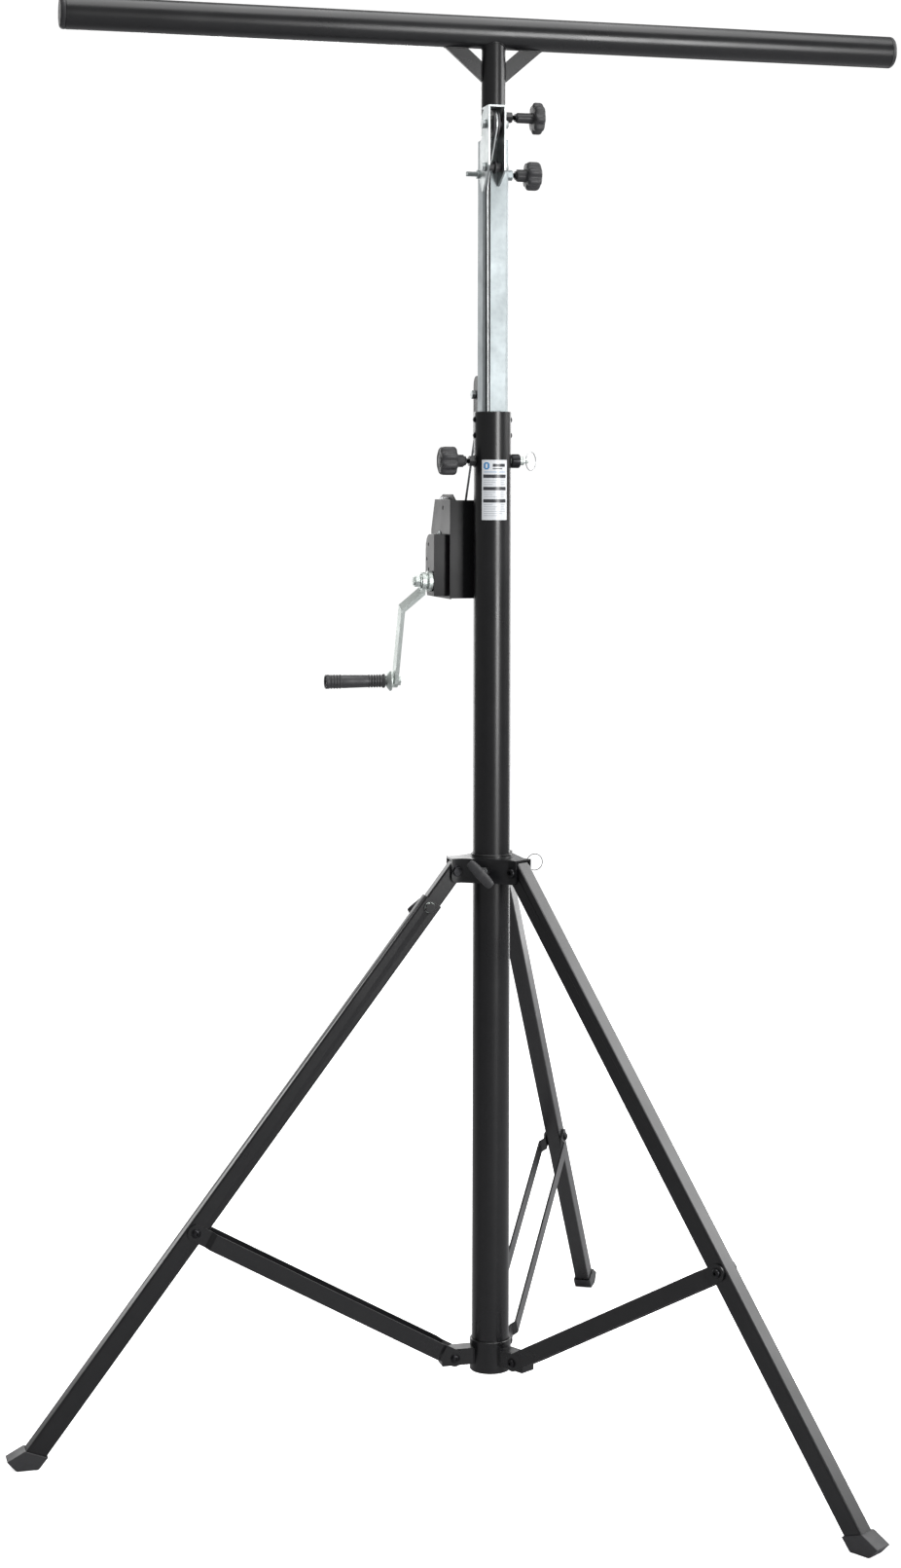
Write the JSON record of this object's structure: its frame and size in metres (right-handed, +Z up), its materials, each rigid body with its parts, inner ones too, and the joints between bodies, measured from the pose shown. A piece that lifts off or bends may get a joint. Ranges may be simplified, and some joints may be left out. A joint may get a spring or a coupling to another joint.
{
  "type": "crank lighting stand",
  "caption": "Wind-up lighting stand: a winch raises a two-stage mast with a T-bar for lamps, on a folding tripod base with braces, a sliding hub and a levelling leg.",
  "frame": {"origin": "on the floor under the middle of the whole stand, feet and T-bar included", "axes": "+Z up along the mast, +X along the T-bar away from the crank, -Y towards the front where the lift rope shows"},
  "size_m": [1.3986, 1.2896, 2.161],
  "materials": {
    "black_paint": "satin black powder coat",
    "nylon": "smooth nylon",
    "steel": "bare steel",
    "zinc": "bright zinc plating",
    "black_plastic": "matte moulded plastic"
  },
  "bodies": {
    "mast": {"outer_tube": "black_paint", "guide_block_left": "nylon", "guide_block_right": "nylon", "bottom_collar": "black_paint", "rear_pulley_bracket": "steel", "rear_pulley_axle": "zinc", "winch_frame": "black_paint", "winch_guard_plate": "black_paint", "winch_gear_cover": "black_paint", "drum_axle": "zinc", "winch_rope": "steel", "mast_pin_housing": "black_paint"},
    "drum": {"cable_drum": "steel", "drum_gear": "steel", "rope_windings": "steel"},
    "crank": {"crank_shaft": "zinc", "crank_arm": "zinc", "grip_spindle": "zinc"},
    "grip": {"crank_grip": "black_plastic"},
    "rear_pulley": {"rear_pulley": "nylon"},
    "mast_clamp": {"mast_clamp_knob": "black_plastic"},
    "mast_pin": {"mast_lock_pin": "zinc", "mast_pin_ring": "steel"},
    "middle_stage": {"middle_mast": "zinc", "pulley_bracket": "zinc", "top_pulley_axle": "zinc", "rope_keeper": "zinc", "stop_bolt": "zinc", "middle_slider": "nylon", "lift_rope": "steel"},
    "top_pulley": {"top_pulley": "nylon"},
    "inner_clamp": {"inner_clamp_knob": "black_plastic"},
    "inner_stage": {"inner_mast": "zinc", "inner_slider": "nylon"},
    "tbar": {"tbar_sleeve": "black_paint", "tbar_tube": "black_paint", "tbar_cap_left": "black_plastic", "tbar_cap_right": "black_plastic"},
    "tbar_clamp": {"tbar_clamp_knob": "black_plastic"},
    "hub": {"leg_hub": "black_paint", "leg_pivot_bolt_left": "zinc", "leg_pivot_bolt_right": "zinc", "leg_pivot_bolt_rear": "zinc"},
    "hub_wing": {"hub_wing_knob": "black_plastic"},
    "hub_pin": {"hub_lock_pin": "zinc", "hub_pin_ring": "steel"},
    "leg_left": {"leg_left_upper": "black_paint"},
    "leg_left_lower": {"leg_left_lower": "black_paint", "foot_left": "black_plastic"},
    "leg_right": {"leg_right": "black_paint", "foot_right": "black_plastic"},
    "leg_rear": {"leg_rear": "black_paint", "foot_rear": "black_plastic"},
    "level_wing": {"level_wing_knob": "black_plastic"},
    "brace_left": {"brace_left_a": "black_paint", "brace_left_b": "black_paint"},
    "brace_right": {"brace_right_a": "black_paint", "brace_right_b": "black_paint"},
    "brace_rear": {"brace_rear_a": "black_paint", "brace_rear_b": "black_paint"}
  },
  "joints": [
    {"name": "crank_turn", "type": "hinge", "parent": "mast", "child": "crank", "pos_m": [0.03682, 0.0558, 1.291], "axis": [1, 0, 0], "range_deg": [-2268.91, 4812.85]},
    {"name": "grip_spin", "type": "hinge", "parent": "crank", "child": "grip", "pos_m": [0.03682, 0.11986, 1.13245], "axis": [1, 0, 0], "continuous": true},
    {"name": "drum_turn", "type": "hinge", "parent": "mast", "child": "drum", "pos_m": [0.03682, 0.0903, 1.36095], "axis": [1, 0, 0], "range_deg": [-1605.28, 757.3]},
    {"name": "rear_pulley_turn", "type": "hinge", "parent": "mast", "child": "rear_pulley", "pos_m": [0.03682, 0.0398, 1.581], "axis": [1, 0, 0], "range_deg": [-1803.56, 850.78]},
    {"name": "middle_slide", "type": "slide", "parent": "mast", "child": "middle_stage", "axis": [0, 0, 1], "range_m": [-0.3301, 0.7001]},
    {"name": "inner_slide", "type": "slide", "parent": "middle_stage", "child": "inner_stage", "axis": [0, 0, 1], "range_m": [0, 1.1]},
    {"name": "top_pulley_turn", "type": "hinge", "parent": "middle_stage", "child": "top_pulley", "pos_m": [0.03682, -0.0472, 1.99], "axis": [1, 0, 0], "range_deg": [0, 3233.07]},
    {"name": "tbar_swivel", "type": "hinge", "parent": "inner_stage", "child": "tbar", "pos_m": [0.03682, -0.0062, 2.136], "axis": [0, 0, 1], "range_deg": [-45, 180]},
    {"name": "mast_clamp_turn", "type": "hinge", "parent": "mast", "child": "mast_clamp", "pos_m": [0.03682, -0.0062, 1.4775], "axis": [-1, 0, 0], "range_deg": [0, 540]},
    {"name": "mast_pin_pull", "type": "slide", "parent": "mast", "child": "mast_pin", "axis": [1, 0, 0], "range_m": [0, 0.008], "stiffness_N_per_m": 400, "springref_m": -0.004},
    {"name": "inner_clamp_turn", "type": "hinge", "parent": "middle_stage", "child": "inner_clamp", "pos_m": [0.03682, -0.0062, 1.918], "axis": [1, 0, 0], "range_deg": [0, 540]},
    {"name": "tbar_clamp_turn", "type": "hinge", "parent": "tbar", "child": "tbar_clamp", "pos_m": [0.03682, -0.0062, 2.007], "axis": [1, 0, 0], "range_deg": [0, 540]},
    {"name": "hub_slide", "type": "slide", "parent": "mast", "child": "hub", "axis": [0, 0, 1], "range_m": [0, 0.3667]},
    {"name": "hub_wing_turn", "type": "hinge", "parent": "hub", "child": "hub_wing", "pos_m": [0.03682, -0.0062, 0.851], "axis": [-0.4848, -0.8746, 0], "range_deg": [0, 540]},
    {"name": "hub_pin_pull", "type": "slide", "parent": "hub", "child": "hub_pin", "axis": [1, 0, 0], "range_m": [0, 0.006], "stiffness_N_per_m": 400, "springref_m": -0.004},
    {"name": "leg_left_fold", "type": "hinge", "parent": "hub", "child": "leg_left", "pos_m": [-0.02217, -0.00722, 0.851], "axis": [0.0175, -0.9998, 0], "range_deg": [0, 33.42]},
    {"name": "leg_right_fold", "type": "hinge", "parent": "hub", "child": "leg_right", "pos_m": [0.06721, -0.05677, 0.851], "axis": [0.8572, 0.515, 0], "range_deg": [0, 33.42]},
    {"name": "leg_rear_fold", "type": "hinge", "parent": "hub", "child": "leg_rear", "pos_m": [0.06543, 0.04541, 0.851], "axis": [-0.8746, 0.4848, 0], "range_deg": [0, 33.42]},
    {"name": "brace_left_fold", "type": "hinge", "parent": "mast", "child": "brace_left", "pos_m": [-0.02317, -0.00724, 0.1065], "axis": [-0.0175, 0.9998, 0], "range_deg": [0, 55.33]},
    {"name": "brace_right_fold", "type": "hinge", "parent": "mast", "child": "brace_right", "pos_m": [0.06773, -0.05763, 0.1065], "axis": [-0.8572, -0.515, 0], "range_deg": [0, 55.33]},
    {"name": "brace_rear_fold", "type": "hinge", "parent": "mast", "child": "brace_rear", "pos_m": [0.06591, 0.04628, 0.1065], "axis": [0.8746, -0.4848, 0], "range_deg": [0, 55.33]},
    {"name": "level_slide", "type": "slide", "parent": "leg_left", "child": "leg_left_lower", "axis": [-0.6075, -0.0106, -0.7943], "range_m": [0, 0.2]},
    {"name": "level_wing_turn", "type": "hinge", "parent": "leg_left_lower", "child": "level_wing", "pos_m": [-0.06408, -0.00796, 0.7962], "axis": [-0.0175, 0.9998, 0], "range_deg": [0, 540]}
  ],
  "couplings": [
    {"joint": "middle_slide", "follows": "crank_turn", "m_per_rad": 0.0083333},
    {"joint": "drum_turn", "follows": "crank_turn", "ratio": -0.33333},
    {"joint": "rear_pulley_turn", "follows": "crank_turn", "ratio": -0.37453},
    {"joint": "top_pulley_turn", "follows": "inner_slide", "rad_per_m": 51.282},
    {"joint": "leg_left_fold", "follows": "hub_slide", "rad_per_m": 1.5897},
    {"joint": "leg_right_fold", "follows": "hub_slide", "rad_per_m": 1.5897},
    {"joint": "leg_rear_fold", "follows": "hub_slide", "rad_per_m": 1.5897},
    {"joint": "brace_left_fold", "follows": "hub_slide", "rad_per_m": 2.6326},
    {"joint": "brace_right_fold", "follows": "hub_slide", "rad_per_m": 2.6326},
    {"joint": "brace_rear_fold", "follows": "hub_slide", "rad_per_m": 2.6326}
  ]
}
